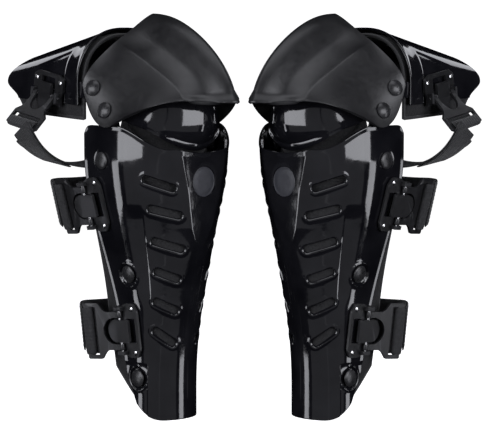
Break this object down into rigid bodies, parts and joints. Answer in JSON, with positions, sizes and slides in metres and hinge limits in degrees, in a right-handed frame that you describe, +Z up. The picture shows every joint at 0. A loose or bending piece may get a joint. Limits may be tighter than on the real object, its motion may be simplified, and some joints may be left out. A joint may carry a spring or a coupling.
{
  "type": "hinged knee and shin guards",
  "caption": "Pair of black hinged knee and shin guards: pivoting visor-shaped knee cap, vented shin shell, thigh arch, padded liners and quick-release strap buckles.",
  "frame": {"origin": "middle point between the two legs, in the plane of the shin shells' feet", "axes": "+Z up along the shins, -Y towards the viewer of the pair (the toes turn in 45 degrees from it), +X from the right leg's guard to the left leg's"},
  "size_m": [0.518, 0.2519, 0.427],
  "materials": {
    "gloss_shell": "injection-moulded, high gloss",
    "satin_cap": "satin, finely grained",
    "liner": "foam under black knit mesh",
    "webbing": "ribbed black webbing",
    "buckle": "satin moulded nylon",
    "steel": "bright",
    "black_stud": "semi-gloss black dome",
    "badge_disc": "plain matte disc",
    "spacer": "plain"
  },
  "bodies": {
    "shin_r": {"shin_shell_r": "gloss_shell", "shin_pad_r": "liner", "side_links_r": "gloss_shell", "pad_studs_r": "black_stud", "badge_r": "badge_disc", "calf_buckle_base_r": "buckle", "ankle_buckle_base_r": "buckle", "shin_rivets_r": "steel", "strap_anchors_r": "buckle", "calf_strap_r": "webbing", "ankle_strap_r": "webbing", "shin_buckle_pins_r": "steel"},
    "knee_r": {"knee_cap_r": "satin_cap", "knee_cup_r": "gloss_shell", "knee_pad_r": "liner", "pivot_rivets_r": "black_stud", "pivot_spacers_r": "spacer"},
    "thigh_r": {"thigh_shell_r": "gloss_shell", "thigh_pad_r": "liner", "thigh_buckle_base_r": "buckle", "thigh_rivets_r": "steel", "thigh_anchor_r": "buckle", "thigh_strap_r": "webbing", "thigh_buckle_pin_r": "steel"},
    "calf_frame_r": {"calf_buckle_frame_r": "buckle"},
    "ankle_frame_r": {"ankle_buckle_frame_r": "buckle"},
    "thigh_frame_r": {"thigh_buckle_frame_r": "buckle"},
    "calf_tab_r": {"calf_buckle_tab_r": "buckle"},
    "ankle_tab_r": {"ankle_buckle_tab_r": "buckle"},
    "thigh_tab_r": {"thigh_buckle_tab_r": "buckle"},
    "shin_l": {"shin_shell_l": "gloss_shell", "shin_pad_l": "liner", "side_links_l": "gloss_shell", "pad_studs_l": "black_stud", "badge_l": "badge_disc", "calf_buckle_base_l": "buckle", "ankle_buckle_base_l": "buckle", "shin_rivets_l": "steel", "strap_anchors_l": "buckle", "calf_strap_l": "webbing", "ankle_strap_l": "webbing", "shin_buckle_pins_l": "steel"},
    "knee_l": {"knee_cap_l": "satin_cap", "knee_cup_l": "gloss_shell", "knee_pad_l": "liner", "pivot_rivets_l": "black_stud", "pivot_spacers_l": "spacer"},
    "thigh_l": {"thigh_shell_l": "gloss_shell", "thigh_pad_l": "liner", "thigh_buckle_base_l": "buckle", "thigh_rivets_l": "steel", "thigh_anchor_l": "buckle", "thigh_strap_l": "webbing", "thigh_buckle_pin_l": "steel"},
    "calf_frame_l": {"calf_buckle_frame_l": "buckle"},
    "ankle_frame_l": {"ankle_buckle_frame_l": "buckle"},
    "thigh_frame_l": {"thigh_buckle_frame_l": "buckle"},
    "calf_tab_l": {"calf_buckle_tab_l": "buckle"},
    "ankle_tab_l": {"ankle_buckle_tab_l": "buckle"},
    "thigh_tab_l": {"thigh_buckle_tab_l": "buckle"}
  },
  "joints": [
    {"name": "knee_pivot_r", "type": "hinge", "parent": "shin_r", "child": "knee_r", "pos_m": [-0.08941, 0.00141, 0.327], "axis": [0.7071, 0.7071, 0], "range_deg": [-5, 20]},
    {"name": "thigh_pivot_r", "type": "hinge", "parent": "knee_r", "child": "thigh_r", "pos_m": [-0.10285, 0.01485, 0.35], "axis": [0.7071, 0.7071, 0], "range_deg": [-5, 28]},
    {"name": "calf_frame_swing_r", "type": "hinge", "parent": "shin_r", "child": "calf_frame_r", "pos_m": [-0.16462, -0.02579, 0.22618], "axis": [-0.2171, -0.0938, 0.9716], "range_deg": [-4, 40], "deforming": ["calf_strap_r"]},
    {"name": "calf_tab_press_r", "type": "hinge", "parent": "shin_r", "child": "calf_tab_r", "pos_m": [-0.16462, -0.02579, 0.22618], "axis": [-0.2171, -0.0938, 0.9716], "range_deg": [0, 8], "stiffness_Nm_per_rad": 0.08},
    {"name": "ankle_frame_swing_r", "type": "hinge", "parent": "shin_r", "child": "ankle_frame_r", "pos_m": [-0.1299, -0.02355, 0.0936], "axis": [-0.0974, -0.0234, 0.995], "range_deg": [-15, 40], "deforming": ["ankle_strap_r"]},
    {"name": "ankle_tab_press_r", "type": "hinge", "parent": "shin_r", "child": "ankle_tab_r", "pos_m": [-0.1299, -0.02355, 0.0936], "axis": [-0.0974, -0.0234, 0.995], "range_deg": [0, 8], "stiffness_Nm_per_rad": 0.08},
    {"name": "thigh_frame_swing_r", "type": "hinge", "parent": "thigh_r", "child": "thigh_frame_r", "pos_m": [-0.2125, 0.02699, 0.34116], "axis": [-0.5965, 0.7905, 0.1392], "range_deg": [-35, 40], "deforming": ["thigh_strap_r"]},
    {"name": "thigh_tab_press_r", "type": "hinge", "parent": "thigh_r", "child": "thigh_tab_r", "pos_m": [-0.2125, 0.02699, 0.34116], "axis": [-0.5965, 0.7905, 0.1392], "range_deg": [0, 8], "stiffness_Nm_per_rad": 0.08},
    {"name": "knee_pivot_l", "type": "hinge", "parent": "shin_l", "child": "knee_l", "pos_m": [0.08941, 0.00141, 0.327], "axis": [0.7071, -0.7071, 0], "range_deg": [-5, 20]},
    {"name": "thigh_pivot_l", "type": "hinge", "parent": "knee_l", "child": "thigh_l", "pos_m": [0.10285, 0.01485, 0.35], "axis": [0.7071, -0.7071, 0], "range_deg": [-5, 28]},
    {"name": "calf_frame_swing_l", "type": "hinge", "parent": "shin_l", "child": "calf_frame_l", "pos_m": [0.16462, -0.02579, 0.22618], "axis": [-0.2171, 0.0938, -0.9716], "range_deg": [-4, 40], "deforming": ["calf_strap_l"]},
    {"name": "calf_tab_press_l", "type": "hinge", "parent": "shin_l", "child": "calf_tab_l", "pos_m": [0.16462, -0.02579, 0.22618], "axis": [-0.2171, 0.0938, -0.9716], "range_deg": [0, 8], "stiffness_Nm_per_rad": 0.08},
    {"name": "ankle_frame_swing_l", "type": "hinge", "parent": "shin_l", "child": "ankle_frame_l", "pos_m": [0.1299, -0.02355, 0.0936], "axis": [-0.0974, 0.0234, -0.995], "range_deg": [-15, 40], "deforming": ["ankle_strap_l"]},
    {"name": "ankle_tab_press_l", "type": "hinge", "parent": "shin_l", "child": "ankle_tab_l", "pos_m": [0.1299, -0.02355, 0.0936], "axis": [-0.0974, 0.0234, -0.995], "range_deg": [0, 8], "stiffness_Nm_per_rad": 0.08},
    {"name": "thigh_frame_swing_l", "type": "hinge", "parent": "thigh_l", "child": "thigh_frame_l", "pos_m": [0.2125, 0.02699, 0.34116], "axis": [-0.5965, -0.7905, -0.1392], "range_deg": [-35, 40], "deforming": ["thigh_strap_l"]},
    {"name": "thigh_tab_press_l", "type": "hinge", "parent": "thigh_l", "child": "thigh_tab_l", "pos_m": [0.2125, 0.02699, 0.34116], "axis": [-0.5965, -0.7905, -0.1392], "range_deg": [0, 8], "stiffness_Nm_per_rad": 0.08},
    {"name": "pair_slide", "type": "slide", "parent": "shin_r", "child": "shin_l", "axis": [1, 0, 0], "range_m": [0, 0.15]}
  ]
}
